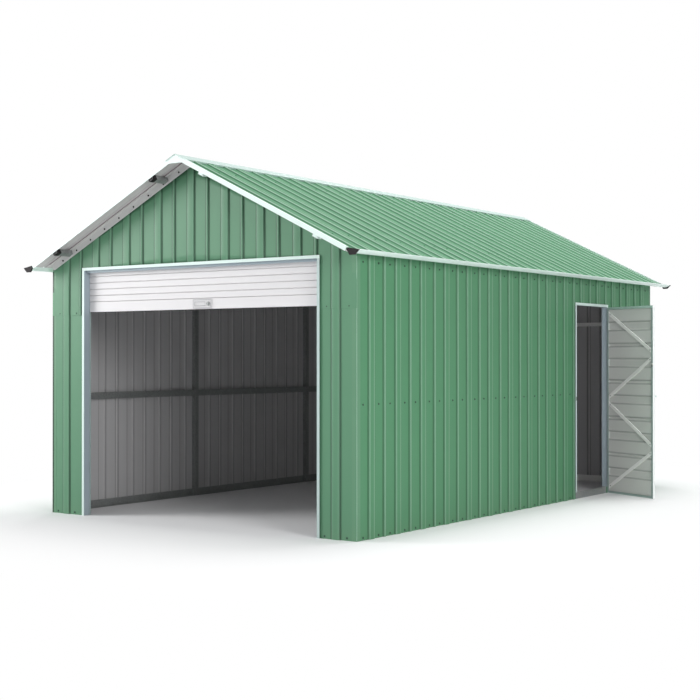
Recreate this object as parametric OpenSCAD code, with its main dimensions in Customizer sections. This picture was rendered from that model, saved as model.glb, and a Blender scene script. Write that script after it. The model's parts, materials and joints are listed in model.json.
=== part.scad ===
// Metal storage shed: ribbed steel sheet on a light steel frame, with a gable roof,
// gutters, a roller shutter in the front and a hinged door in the right side.
// Origin at the centre of the footprint on the ground, +X right, +Y to the rear, +Z up.

/* [Building] */
// Width over the flat pans of the side walls
width = 3300; // [3000:10:3700]
// Length over the flat pans of the front and rear walls
length = 5550; // [5200:10:6600]
// Height of the roof sheet's underside over the side walls
eave_height = 2195; // [2150:5:2500]
// Slope of the roof in degrees
pitch = 26; // [24:0.5:28]
// How far the verges stand out past the front and rear walls
verge_overhang = 200; // [160:5:300]
// How far the roof sheet reaches past the side walls
eave_overhang = 50; // [42:1:60]

/* [Ribbed sheet] */
// Thickness of the ribbed sheets
sheet_t = 1; // [0.6:0.1:1.5]
// Height of the ribs
rib_h = 12; // [8:1:16]
// Distance from one wide rib to the next
rib_pitch = 366; // [340:2:400]
// Width of a wide rib at its foot
wide_rib = 86; // [70:1:100]
// Width of a narrow rib at its foot
narrow_rib = 34; // [28:1:44]
// Flat pan between a wide rib and the narrow rib after it
pan_w = 118; // [100:1:130]
// Run of a rib's sloping side
web_run = 9; // [5:1:12]

/* [Frame] */
// Thickness of the frame's folded channels
frame_t = 2; // [1.5:0.5:3]
// Width of posts, rafters and eave rails
post_w = 50; // [40:5:60]
// Depth of posts, girts, rafters and purlins
post_d = 40; // [35:1:45]
// Height of the girts on the side walls
girt_h = 60; // [45:5:70]
// Height of the girts' middle above the ground
girt_z = 1024; // [900:2:1150]
// Height of the rear wall's rail above the ground
rear_rail_z = 1724; // [1600:2:1850]
// Height of the base rails
base_h = 66; // [50:2:80]
// Width of the base rails' floor flange
base_w = 60; // [50:5:70]
// Drop of the eave rails' top below the roof sheet over the side walls
eave_drop = 75; // [70:1:85]
// Distance of the two inner frames from the middle of the length
frame_y = 915; // [860:5:925]
// Distance of the upper purlins from the ridge, level
purlin_upper_x = 285; // [240:5:400]
// Distance of the lower purlins from the ridge, level
purlin_lower_x = 1420; // [1350:5:1440]
// Diameter of the anchor holes in the base rails
anchor_d = 12; // [10:1:16]
// Distance of the anchor holes from the middle of the length
anchor_y = 2000; // [1950:10:2400]

/* [Trims] */
// Thickness of the trims, gutters and door surrounds
trim_t = 1.5; // [1:0.1:2]
// Width of the corner flashings
flashing_w = 45; // [30:1:50]
// Depth of the fascias below the roof sheet's underside
fascia_drop = 20; // [14:1:30]
// Width of the fascias' flange over the roof sheet
fascia_flange = 30; // [20:1:50]
// Height of the gable trims, square to the slope
gable_trim_h = 49; // [44:1:70]
// Width of the gable trims' flange under the roof
gable_trim_flange = 36; // [20:1:60]
// Width of each wing of the ridge cap
ridge_wing = 105; // [80:5:140]
// Drop of the fascias' flat joint below the ridge
apex_drop = 56; // [45:1:70]
// How far the ridge cap stands out past the fascias
ridge_over = 8; // [2:1:15]
// Width of the gutter's mouth
gutter_w = 99; // [90:1:130]
// Width of the gutter's flat bottom
gutter_base = 41; // [36:1:50]
// Depth of the gutter
gutter_h = 27; // [25:1:60]
// How far the gutters reach past the front and rear walls
gutter_over = 200; // [150:5:200]
// Length of a gutter's end cap
cap_l = 14; // [8:1:25]
// How far the end caps stand out round the gutter
cap_rim = 5; // [2:0.5:8]
// How far the end caps hang below the gutter's bottom
cap_drop = 12; // [0:1:20]

/* [Front opening] */
// Mean width of the wall beside the front opening
front_side_w = 386; // [370:1:480]
// How far the front opening's middle lies right of the building's
front_shift = 23; // [0:1:30]
// Drop of the front head below the roof sheet over the side walls
front_head_drop = 64; // [55:1:90]
// Width of the front surround's face
front_face = 25; // [20:1:40]
// Depth from the surround's face to the shutter's guide
guide_depth = 66; // [60:1:100]
// Depth of the guide's slot across
guide_slot = 14; // [14:1:24]
// How far the shutter hangs below the front head
shutter_hang = 359; // [300:1:450]
// Height of the shutter's bottom bar
bottom_bar_h = 86; // [60:2:100]
// Height of one slat of the shutter
slat_h = 55; // [45:1:70]
// Width of the shutter's lock plate
lock_w = 198; // [120:2:220]
// Height of the shutter's lock plate
lock_h = 74; // [50:1:76]
// Thickness of the shutter over its slats
slat_d = 9; // [7:0.5:11]
// Radius of the rolled-up shutter
roll_r = 95; // [80:1:110]
// Radius of the roll's axle
axle_r = 21; // [15:1:28]
// How far the roll's brackets reach down the jambs
bracket_leg = 160; // [120:5:200]
// Width of the brackets' legs
bracket_w = 60; // [50:1:80]
// Thickness of the brackets
bracket_t = 4; // [3:0.5:6]

/* [Side door] */
// Distance of the door's near reveal from the middle of the length
door_near_y = 935; // [934:1:990]
// Clear width of the side doorway
door_clear_w = 703; // [650:1:760]
// Height of the wall left over the side doorway, up to the roof sheet
over_door = 309; // [270:1:380]
// Width of the side surround's face
side_face = 25; // [20:1:35]
// Depth of the side surround's reveal
side_reveal = 59; // [59:1:90]
// Gap between the leaf and the surround
leaf_gap = 5; // [5:0.5:8]
// Thickness of the leaf
leaf_t = 25; // [22:1:30]
// Height of the leaf's lower edge above the ground
leaf_z = 9; // [6:1:20]
// Width of the leaf's frame
leaf_frame_w = 22; // [18:1:30]
// Width of the leaf's diagonal braces
brace_w = 32; // [18:1:40]
// Angle that the door stands open in degrees
door_open = 63; // [0:1:120]
// Distance of the outer hinges from the leaf's top and bottom
hinge_in = 180; // [120:5:240]
// Height of the handle above the ground
handle_z = 1000; // [900:10:1100]
// Radius of the hinges' barrels
barrel_r = 6; // [5:0.5:8]
// Radius of the hinges' pins
pin_r = 3; // [2.5:0.1:4]

/* [Hidden] */
$fn = 32;

slope_tan = tan(pitch);
slope_cos = cos(pitch);
// Clearance where one piece is seated on another without being joined to it
seat = 0.3;
big = 20000;

wall_x = width / 2;
wall_y = length / 2;
ridge_height = eave_height + slope_tan * wall_x;
eave_z = eave_height - eave_drop;
front_clear_h = eave_height - front_head_drop;
shutter_z = front_clear_h - shutter_hang;
door_clear_h = eave_height - over_door;
// Outer face of the frame, against the inside of the wall sheets
frame_x = wall_x - sheet_t;
frame_face_y = wall_y - sheet_t;
// Crest planes of the walls
crest_x = wall_x + rib_h;
crest_y = wall_y + rib_h;
roof_end_y = wall_y + verge_overhang;
roof_rib_top = sheet_t + rib_h;
slope_run = (wall_x + eave_overhang) / slope_cos;
// Underside of the roof at a distance x from the ridge
function roof_z(x) = ridge_height - slope_tan * x;
// The same for a plane that lies d below the underside, square to the slope
function below_roof(x, d) = roof_z(x) - d / slope_cos;

front_clear_x = wall_x - front_side_w;
side_wall_top = below_roof(crest_x, 4);
door_far_y = door_near_y + door_clear_w;
leaf_in_x = frame_x + leaf_gap;
pin_x = leaf_in_x + leaf_t + leaf_gap;
pin_y = door_far_y + 2;
leaf_near_y = door_near_y + leaf_gap;
leaf_far_y = door_far_y - leaf_gap;
leaf_w = leaf_far_y - leaf_near_y;
leaf_h = door_clear_h - leaf_gap - leaf_z;
inner_post_near = door_near_y - trim_t;

green = [0.36, 0.58, 0.44];
dark_green = [0.30, 0.52, 0.38];
white = [0.90, 0.95, 0.93];
grey = [0.62, 0.65, 0.65];
dark_grey = [0.45, 0.47, 0.48];
black = [0.10, 0.10, 0.11];

// Folded sheet

function unit(v) = v / norm(v);
function left_of(v) = [-v[1], v[0]];
function mitre(a, b) = (a + b) / (1 + a * b);
function heading(p, i) = unit(i < len(p) - 1 ? p[i + 1] - p[i] : p[i] - p[i - 1]);
function side_path(p, t) = [
    for (i = [0 : len(p) - 1])
        p[i] + t * mitre(left_of(heading(p, max(i - 1, 0))), left_of(heading(p, i)))
];
// Turns a line of points into the outline of a sheet t thick on its left, or right if t is negative
module folded(p, t) {
    q = side_path(p, t);
    polygon(concat(p, [for (i = [len(q) - 1 : -1 : 0]) q[i]]));
}

// One rib from s to s + w along the sheet
function rib(s, w) = [[s, 0], [s + web_run, rib_h], [s + w - web_run, rib_h], [s + w, 0]];
// Ribs of a sheet from a to b, where a wide rib ends at the place phase
function sheet_line(a, b, phase, edge) = concat(
    [[a, 0]],
    [for (k = [floor((a - phase) / rib_pitch) - 1 : ceil((b - phase) / rib_pitch) + 1])
        for (r = [[pan_w, narrow_rib], [rib_pitch - wide_rib, wide_rib]])
            let (s = phase + k * rib_pitch + r[0])
                if (s > a + edge && s + r[1] < b - edge) each rib(s, r[1])],
    [[b, 0]]
);
module sheet_section(a, b, phase, edge = 4) folded(sheet_line(a, b, phase, edge), -sheet_t);

// Wall sheets standing on the line a to b, with the ribs outward

module wall_sheet(a, b, phase, low, high, edge = 4) {
    translate([0, 0, low]) linear_extrude(high - low) sheet_section(a, b, phase, edge);
}
front_phase = 37;
side_phase = -wall_y + 231;
module on_front() translate([0, -wall_y, 0]) mirror([0, 1, 0]) children();
module on_rear() translate([0, wall_y, 0]) mirror([1, 0, 0]) children();
module on_right() translate([wall_x, 0, 0]) rotate([0, 0, 90]) mirror([0, 1, 0]) children();
module on_left() translate([-wall_x, 0, 0]) rotate([0, 0, 90]) mirror([1, 0, 0]) children();

// Everything under the purlins' line of the roof
module under_purlins() {
    x = wall_x + eave_overhang;
    rotate([90, 0, 0]) linear_extrude(big, center = true) polygon([
        [-x, 0], [x, 0], [x, below_roof(x, post_d)], [0, below_roof(0, post_d)], [-x, below_roof(x, post_d)]
    ]);
}

jamb_back = front_clear_x + trim_t + 1;
front_sheet_top = front_clear_h + trim_t;
module front_wall_left() color(green) on_front()
    wall_sheet(-wall_x, front_shift - jamb_back, front_phase, 0, front_sheet_top, flashing_w);
module front_wall_right() color(green) on_front()
    wall_sheet(front_shift + jamb_back, wall_x, front_phase, 0, front_sheet_top, flashing_w);
module front_gable() color(green) intersection() {
    on_front() wall_sheet(-wall_x, wall_x, front_phase, front_sheet_top, ridge_height, flashing_w);
    under_purlins();
}
module left_wall() color(green) on_left()
    wall_sheet(-wall_y + sheet_t, wall_y - sheet_t, side_phase, 0, side_wall_top, flashing_w);
module rear_wall() color(green) intersection() {
    on_rear() wall_sheet(-wall_x, wall_x, front_phase, 0, ridge_height, flashing_w);
    under_purlins();
}
module right_wall_front() color(green) on_right()
    wall_sheet(-wall_y + sheet_t, inner_post_near, side_phase, 0, side_wall_top, side_face + 4);
module right_wall_over_door() color(green) on_right()
    wall_sheet(inner_post_near, door_far_y + trim_t, side_phase, door_clear_h + trim_t, side_wall_top);
module right_wall_rear() color(green) on_right()
    wall_sheet(door_far_y + trim_t, wall_y - sheet_t, side_phase, 0, side_wall_top, flashing_w);

// Plain folds over the four corners
module corner_flashings() color(dark_green)
    for (sx = [0, 1], sy = [0, 1]) mirror([sx, 0, 0]) mirror([0, sy, 0])
        linear_extrude(below_roof(wall_x, gable_trim_h) - 2) folded([
            [wall_x, wall_y - flashing_w], [wall_x, wall_y], [wall_x - flashing_w, wall_y]
        ], -sheet_t);

// Roof

// Puts x down the slope from the ridge, z square to it, zero on the sheet's underside
module on_slope(side) mirror([side < 0 ? 1 : 0, 0, 0])
    translate([0, 0, ridge_height]) rotate([0, pitch, 0]) children();
// Keeps what lies on one side of the ridge
module half(side) intersection() {
    children();
    translate([side > 0 ? 0 : -big, -big / 2, -big / 2]) cube([big, big, big]);
}
module roof_sheet(side) color(green) half(side) on_slope(side)
    rotate([90, 0, 90]) linear_extrude(slope_run)
        translate([0, sheet_t]) folded(roof_line, -sheet_t);
module roof_left() roof_sheet(-1);
module roof_right() roof_sheet(1);

ridge_cap_z = roof_rib_top + trim_t;
roof_line = sheet_line(-roof_end_y + trim_t, roof_end_y - trim_t, -roof_end_y, fascia_flange / 3);
// Turned-down edge of the ridge cap, notched to the sheet's ribs
module ridge_lip() difference() {
    lip_half = roof_end_y - fascia_flange - 1;
    translate([-lip_half, 0]) square([2 * lip_half, ridge_cap_z + trim_t]);
    polygon(concat([for (p = roof_line) p + [0, sheet_t + seat]],
        [[roof_end_y, -sheet_t], [-roof_end_y, -sheet_t]]));
}
module ridge_cap() color(white)
    for (side = [-1, 1]) half(side) on_slope(side) {
        translate([-30, -roof_end_y - ridge_over, ridge_cap_z])
            cube([ridge_wing + 30, 2 * (roof_end_y + ridge_over), trim_t]);
        translate([ridge_wing - trim_t, 0, 0]) rotate([90, 0, 90]) linear_extrude(trim_t) ridge_lip();
    }

// Fascia: a plate over the sheet's end with a flange on top of the ribs
fascia_run = slope_run - 10;
module fascia(side) half(side) on_slope(side)
    translate([-30, 0, 0]) rotate([90, 0, 90]) linear_extrude(fascia_run + 30) folded([
        [-roof_end_y, -fascia_drop], [-roof_end_y, roof_rib_top + trim_t],
        [-roof_end_y + fascia_flange, roof_rib_top + trim_t]
    ], -trim_t);
// Half width of the flat joint under the apex, where it meets the fascias' lower edges
apex_x = (apex_drop - fascia_drop / slope_cos) / slope_tan;
module fascias() color(white) {
    for (side = [-1, 1]) fascia(side);
    translate([0, -roof_end_y + trim_t, ridge_height]) rotate([90, 0, 0]) linear_extrude(trim_t)
        polygon([[-apex_x, -apex_drop], [apex_x, -apex_drop], [0, 0]]);
}
module fascia_front() fascias();
module fascia_rear() mirror([0, 1, 0]) fascias();

// Trim on the gable wall under the roof, notched round the purlins
module gable_trim(side) difference() {
    half(side) on_slope(side) intersection() {
        translate([-60, 0, 0]) rotate([90, 0, 90])
            linear_extrude(wall_x / slope_cos + 60) folded([
                [-crest_y, -gable_trim_h], [-crest_y, 0], [-crest_y - gable_trim_flange, 0]
            ], trim_t);
        translate([-60, -big / 2, -big / 2]) cube([wall_x / slope_cos + 60, big, big]);
    }
    for (x = [purlin_upper_x, purlin_lower_x]) half(side) on_slope(side)
        translate([x / slope_cos - post_w / 2 - 1, -big / 2, -post_d - 1])
            cube([post_w + 2, big / 2, post_d + 2]);
}
module gable_trims() color(white) for (sy = [0, 1]) mirror([0, sy, 0])
    for (side = [-1, 1]) gable_trim(side);

// Gutter hung under the edge of the roof sheet
gutter_top_x = wall_x + eave_overhang - seat;
gutter_lip_x = gutter_top_x + gutter_w;
gutter_base_x = gutter_lip_x - 33;
gutter_lip_z = roof_z(gutter_top_x) - 7.5;
gutter_low = roof_z(gutter_top_x) - gutter_h;
// Its section, with a flat bottom at the height low, from the flange under the sheet to the lip
function gutter_path(low) = [
    [gutter_top_x - 7, roof_z(gutter_top_x - 7) - seat / 2],
    [gutter_top_x, roof_z(gutter_top_x) - seat / 2],
    [gutter_base_x - gutter_base, low],
    [gutter_base_x, low],
    [gutter_lip_x, gutter_lip_z],
    [gutter_lip_x - 8, gutter_lip_z + 4]
];
gutter_line = gutter_path(gutter_low);
cap_line = side_path(gutter_path(gutter_low - cap_drop), -cap_rim);
// A place s down the slope from the ridge and h over the roof's underside
function on_roof(s, h) = [s * slope_cos + h * sin(pitch), ridge_height - s * sin(pitch) + h * slope_cos];
module along_y(y0, y1) translate([0, y1, 0]) rotate([90, 0, 0]) linear_extrude(y1 - y0) children();
module gutter() along_y(-wall_y - gutter_over + cap_l, wall_y + gutter_over - cap_l)
    folded(gutter_line, -trim_t);
module gutter_right() color(white) gutter();
module gutter_left() color(white) mirror([1, 0, 0]) gutter();
// Black end caps, one solid on each end of the gutters
module gutter_caps() color(black) for (sx = [0, 1], sy = [0, 1])
    mirror([sx, 0, 0]) mirror([0, sy, 0])
        along_y(wall_y + gutter_over - cap_l, wall_y + gutter_over)
            polygon([on_roof(fascia_run + seat, -seat), cap_line[2], cap_line[3], cap_line[4],
                on_roof(slope_run + seat, roof_rib_top), on_roof(slope_run + seat, -seat)]);

// Frame

module base_angle(run) rotate([90, 0, 0]) translate([0, 0, -run])
    linear_extrude(run) folded([[0, base_h], [0, 0], [-base_w, 0]], -frame_t);
module anchor_holes(x) for (y = [-anchor_y, anchor_y])
    translate([x, y, -1]) cylinder(h = frame_t + 2, d = anchor_d);
anchor_x = frame_x - base_w * 0.6;
side_run = 2 * frame_face_y;
module base_rail_right() color(grey) difference() {
    translate([frame_x, -frame_face_y, 0]) base_angle(side_run);
    anchor_holes(anchor_x);
}
module base_rail_left() color(grey) mirror([1, 0, 0]) difference() {
    translate([frame_x, -frame_face_y, 0]) base_angle(side_run);
    anchor_holes(anchor_x);
}
// Room between the side rails' flanges
rear_half = frame_x - base_w;
module base_rail_rear() color(grey) translate([rear_half, frame_face_y, 0]) rotate([0, 0, 90])
    base_angle(2 * rear_half);
guide_in = 28;
module front_stub(run) translate([rear_half - run, -frame_face_y, 0]) rotate([0, 0, -90]) base_angle(run);
front_stub_run = rear_half - front_clear_x - guide_in - trim_t - seat;
module base_rails_front() color(grey) {
    front_stub(front_stub_run - front_shift);
    mirror([1, 0, 0]) front_stub(front_stub_run + front_shift);
}

// Post on the right wall's line from y to y + post_w, standing on the base rail's flange
post_x = frame_x - frame_t;
corner_y = frame_face_y - frame_t;
post_top = eave_z - post_w;
module wall_post(y) translate([post_x, y, frame_t]) rotate([0, 0, 90])
    linear_extrude(post_top - frame_t) folded([[0, 0], [0, post_d], [post_w, post_d], [post_w, 0]], -frame_t);
module posts_right() color(grey) for (y = [-corner_y, -frame_y - post_w / 2,
        inner_post_near - post_w, door_far_y + trim_t, corner_y - post_w]) wall_post(y);
module posts_left() color(grey) mirror([1, 0, 0]) for (y = [-corner_y, -frame_y - post_w / 2,
        frame_y - post_w / 2, corner_y - post_w]) wall_post(y);

// Girt on the right wall between two posts
module girt(y0, y1) translate([frame_x, 0, girt_z - girt_h / 2]) along_y(y0, y1)
    folded([[0, 0], [-post_d, 0], [-post_d, girt_h], [0, girt_h]], -frame_t);
module side_girts() color(grey) {
    right_stops = [[-corner_y + post_w, -frame_y - post_w / 2],
        [-frame_y + post_w / 2, inner_post_near - post_w],
        [door_far_y + trim_t + post_w, corner_y - post_w]];
    left_stops = [[-corner_y + post_w, -frame_y - post_w / 2],
        [-frame_y + post_w / 2, frame_y - post_w / 2],
        [frame_y + post_w / 2, corner_y - post_w]];
    for (s = right_stops) girt(s[0], s[1]);
    mirror([1, 0, 0]) for (s = left_stops) girt(s[0], s[1]);
}
module rear_rail() color(grey) translate([0, frame_face_y, rear_rail_z])
    rotate([90, 0, 90]) linear_extrude(2 * (post_x - post_d), center = true)
        folded([[0, 0], [-post_d, 0], [-post_d, post_d], [0, post_d]], -frame_t);
module eave_rails() color(grey) for (sx = [0, 1]) mirror([sx, 0, 0])
    translate([frame_x, 0, eave_z - post_w]) along_y(-frame_face_y, frame_face_y)
        folded([[0, 0], [-post_d, 0], [-post_d, post_w], [0, post_w]], -frame_t);

// Rafter under the purlins, cut level where it sits on the eave rail
module rafter(side, y) difference() {
    half(side) on_slope(side) translate([0, y, -2 * post_d]) rotate([90, 0, 90])
        linear_extrude(frame_x / slope_cos) folded(
            [[0, 0], [0, post_d], [post_w, post_d], [post_w, 0]], -frame_t);
    translate([-big / 2, -big / 2, -big]) cube([big, big, big + eave_z]);
    for (sx = [0, 1]) mirror([sx, 0, 0]) translate([frame_x, -big / 2, 0]) cube([100, big, big]);
}
module rafters(side) color(grey) for (y = [-frame_face_y, -frame_y - post_w / 2,
        frame_y - post_w / 2, frame_face_y - post_w]) rafter(side, y);
module rafters_left() rafters(-1);
module rafters_right() rafters(1);

// Purlins run under the sheet from fascia to fascia, open at their ends
module purlin(side, x) on_slope(side)
    translate([x / slope_cos - post_w / 2, 0, -post_d]) along_y(-roof_end_y + trim_t, roof_end_y - trim_t)
        folded([[0, post_d], [0, 0], [post_w, 0], [post_w, post_d]], frame_t);
module purlins_left() color(dark_grey) for (x = [purlin_upper_x, purlin_lower_x]) purlin(-1, x);
module purlins_right() color(dark_grey) for (x = [purlin_upper_x, purlin_lower_x]) purlin(1, x);

// Front opening and its roller shutter

face_y = -crest_y;
guide_y = face_y + guide_depth;
guide_back = guide_y + guide_slot;
module in_front() translate([front_shift, 0, 0]) children();
// Jamb folded as a face, a reveal and the guide's slot
module front_jamb() linear_extrude(front_clear_h) folded([
    [front_clear_x + front_face, face_y - trim_t], [front_clear_x, face_y - trim_t],
    [front_clear_x, guide_y], [front_clear_x + guide_in, guide_y],
    [front_clear_x + guide_in, guide_back], [front_clear_x, guide_back]
], -trim_t);
module front_jamb_right() color(white) in_front() front_jamb();
module front_jamb_left() color(white) in_front() mirror([1, 0, 0]) front_jamb();
head_half = front_clear_x + front_face;
// Head: its face runs over the jambs' faces, its soffit only from reveal to reveal
module front_head() color(white) in_front() difference() {
    rotate([90, 0, 90]) linear_extrude(2 * head_half, center = true) folded([
        [face_y - trim_t, front_clear_h + front_face], [face_y - trim_t, front_clear_h],
        [guide_y, front_clear_h], [guide_y, front_clear_h + front_face]
    ], trim_t);
    for (sx = [0, 1]) mirror([sx, 0, 0]) translate([front_clear_x + trim_t, face_y, 0])
        cube([front_face + 1, guide_depth + trim_t, front_clear_h + front_face + 1]);
}

curtain_half = front_clear_x + guide_in - trim_t - 4;
curtain_y = guide_y + (guide_slot - slat_d) / 2;
curtain_low = shutter_z + bottom_bar_h;
slat_groove = 7;
slat_t = 1.2;
slat_n = floor((front_clear_h + front_face + roll_r + 12 - curtain_low) / slat_h);
curtain_top = slat_n * slat_h + 12;
roll_z = curtain_low + slat_n * slat_h + 6;
roll_y = curtain_y + slat_d + slat_t + seat + roll_r;
// Slats joined by shallow grooves
module shutter_curtain() color(white) in_front() translate([0, curtain_y, curtain_low]) rotate([90, 0, 90])
    linear_extrude(2 * curtain_half, center = true) folded([
        for (k = [0 : slat_n - 1]) each [
            [slat_d, k * slat_h], [0, k * slat_h + slat_groove],
            [0, (k + 1) * slat_h - slat_groove / 2]],
        [slat_d, slat_n * slat_h], [slat_d, curtain_top]
    ], -slat_t);
bar_half = front_clear_x - 4;
module shutter_bottom_bar() color(white) in_front()
    translate([-bar_half, curtain_y - 3, shutter_z]) cube([2 * bar_half, slat_d + 6, bottom_bar_h - seat]);
// Distance of the lock plate's middle from the opening's
lock_x = 50;
lock_z = shutter_z + (bottom_bar_h - lock_h) / 2;
lock_t = 2.5;
grip_w = 120;
// Lock plate with a recessed grip on its left and a round key plate on its right
module shutter_lock() color(grey) in_front() translate([lock_x - lock_w / 2, curtain_y - 3, lock_z]) {
    difference() {
        translate([0, -lock_t, 0]) cube([lock_w, lock_t, lock_h]);
        translate([16, -lock_t - 1, lock_h * 0.3]) cube([grip_w, lock_t, lock_h * 0.4]);
    }
    translate([16, -lock_t - 3, lock_h * 0.3 - 4]) cube([grip_w, 4.5, 4]);
    translate([lock_w - 32, -lock_t, lock_h / 2]) rotate([90, 0, 0]) cylinder(h = 6, r = 14);
}
bracket_x = front_clear_x + 8;
module shutter_roll() color(white) in_front() translate([0, roll_y, roll_z]) rotate([0, 90, 0]) {
    cylinder(h = 2 * (front_clear_x - 8), r = roll_r, center = true, $fn = 64);
    cylinder(h = 2 * bracket_x, r = axle_r, center = true);
}
bracket_low = front_clear_h - bracket_leg;
bracket_run = roll_y - guide_back - trim_t + bracket_w;
module shutter_brackets() color(dark_grey) in_front() for (sx = [0, 1]) mirror([sx, 0, 0])
    translate([bracket_x, guide_back + trim_t, 0]) rotate([90, 0, 90]) linear_extrude(bracket_t) polygon([
        [0, bracket_low], [bracket_w, bracket_low], [bracket_run, roll_z - bracket_w],
        [bracket_run, roll_z + bracket_w], [0, roll_z + bracket_w]
    ]);

// Side doorway

side_out_x = crest_x + trim_t;
side_in_x = side_out_x - side_reveal;
// Jamb folded as a face and a reveal, on the line of a reveal at y = 0
module side_jamb(low) translate([0, 0, low]) linear_extrude(door_clear_h - low) folded([
    [side_out_x, -side_face], [side_out_x, 0], [side_in_x, 0], [side_in_x, -18]
], trim_t);
module side_jambs() color(grey) {
    translate([0, door_near_y, 0]) side_jamb(base_h);
    translate([0, door_far_y, 0]) mirror([0, 1, 0]) side_jamb(base_h);
    for (z = hinge_zs) translate([0, 0, z]) jamb_knuckle();
}
module side_head() color(white) difference() {
    along_y(door_near_y - side_face, door_far_y + side_face) folded([
        [side_out_x, door_clear_h + side_face], [side_out_x, door_clear_h],
        [side_in_x, door_clear_h], [side_in_x, door_clear_h + side_face]
    ], -trim_t);
    for (y = [door_near_y - trim_t - side_face - 1, door_far_y + trim_t])
        translate([side_in_x - 1, y, 0]) cube([crest_x - side_in_x + 1, side_face + 1, door_clear_h * 2]);
}

// Leaf, drawn shut and turned about the hinge pin to where it stands open
module leaf_placed() translate([pin_x, pin_y, 0]) rotate([0, 0, door_open])
    translate([-pin_x, -pin_y, 0]) children();
// A block inset from the closed leaf's outline by d, and by dx from its faces
module leaf_block(dx, d) translate([leaf_in_x + dx, leaf_near_y + d, leaf_z + d])
    cube([leaf_t - 2 * dx, leaf_w - 2 * d, leaf_h - 2 * d]);
skin_d = trim_t + seat;
skin_in = leaf_t - skin_d - rib_h - sheet_t;
module door_skin() color(green) leaf_placed()
    translate([leaf_in_x + skin_in + sheet_t, leaf_near_y + skin_d, leaf_z + skin_d])
        mirror([0, 1, 0]) rotate([90, 0, 0]) linear_extrude(leaf_w - 2 * skin_d)
            rotate(90) mirror([0, 1]) sheet_section(0, leaf_h - 2 * skin_d, leaf_phase, leaf_frame_w);
leaf_phase = 258;
// Frame of folded channel that holds the skin's edges, with the moving halves of the hinges
module door_frame() color(white) leaf_placed() {
    difference() {
        leaf_block(0, 0);
        leaf_block(trim_t, trim_t);
        leaf_block(-1, leaf_frame_w);
    }
    for (z = hinge_zs) translate([0, 0, z]) leaf_knuckle();
}
// Shares of the leaf's height where the braces meet its stiles, from the top, by turns hinge and free
brace_zs = [0.985, 0.745, 0.5, 0.255, 0.015];
brace_apart = 21;
brace_h = skin_in - skin_d - seat;
module door_braces() color(grey) leaf_placed() intersection() {
    leaf_block(skin_d, skin_d);
    union() for (i = [0 : len(brace_zs) - 2]) {
        ends = i % 2 == 0 ? [leaf_far_y, leaf_near_y] : [leaf_near_y, leaf_far_y];
        z0 = leaf_z + brace_zs[i] * leaf_h - brace_apart;
        z1 = leaf_z + brace_zs[i + 1] * leaf_h + brace_apart;
        reach = norm([ends[1] - ends[0], z1 - z0]);
        translate([leaf_in_x + skin_d, ends[0], z0]) rotate([atan2(z1 - z0, ends[1] - ends[0]), 0, 0])
            translate([0, reach + leaf_t, 0]) rotate([90, 0, 0]) linear_extrude(reach + 2 * leaf_t)
                folded([[brace_h, -brace_w / 2], [0, -brace_w / 2], [0, brace_w / 2],
                    [brace_h, brace_w / 2]], -trim_t);
    }
}
module door_handle() color(dark_grey) leaf_placed()
    translate([leaf_in_x + leaf_t, leaf_near_y + leaf_frame_w / 2, handle_z]) {
        translate([0, -9, -45]) cube([2.5, 18, 90]);
        translate([2.5, 0, 0]) rotate([0, 90, 0]) cylinder(h = 14, r = 7);
        translate([16.5, -8, -8]) cube([7, 60, 16]);
    }

// Hinges: a middle knuckle on the leaf between two on the jamb, on one pin
hinge_zs = [leaf_z + hinge_in, leaf_z + leaf_h / 2, leaf_z + leaf_h - hinge_in];
knuckle_h = 26;
knuckle_gap = 0.6;
plate_t = 2;
module barrel(h) translate([pin_x, pin_y, 0]) cylinder(h = h, r = barrel_r, center = true);
module leaf_knuckle() difference() {
    union() {
        barrel(knuckle_h);
        translate([leaf_in_x + leaf_t, pin_y - 34, -knuckle_h / 2]) cube([plate_t, 34, knuckle_h]);
    }
    translate([pin_x, pin_y, 0]) cylinder(h = knuckle_h + 2, r = pin_r + 0.1, center = true);
}
module jamb_knuckle() {
    step = knuckle_h + knuckle_gap;
    translate([pin_x, pin_y, 0]) cylinder(h = 3 * step, r = pin_r, center = true);
    for (s = [-1, 1]) translate([0, 0, s * step]) {
        barrel(knuckle_h);
        translate([side_out_x, pin_y - 1, -knuckle_h / 2]) cube([pin_x - side_out_x, 3, knuckle_h]);
    }
    translate([side_out_x, pin_y - 1, -1.5 * step]) cube([plate_t, side_face, 3 * step]);
}

front_wall_left();
front_wall_right();
front_gable();
left_wall();
rear_wall();
right_wall_front();
right_wall_over_door();
right_wall_rear();
corner_flashings();
roof_left();
roof_right();
ridge_cap();
fascia_front();
fascia_rear();
gable_trims();
gutter_left();
gutter_right();
gutter_caps();
base_rail_left();
base_rail_right();
base_rail_rear();
base_rails_front();
posts_left();
posts_right();
side_girts();
rear_rail();
eave_rails();
rafters_left();
rafters_right();
purlins_left();
purlins_right();
front_jamb_left();
front_jamb_right();
front_head();
shutter_curtain();
shutter_bottom_bar();
shutter_lock();
shutter_roll();
shutter_brackets();
side_jambs();
side_head();
door_skin();
door_frame();
door_braces();
door_handle();
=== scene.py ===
# Looks for a ribbed steel storage shed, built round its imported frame. Lengths in metres.
import json
import math

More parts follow.
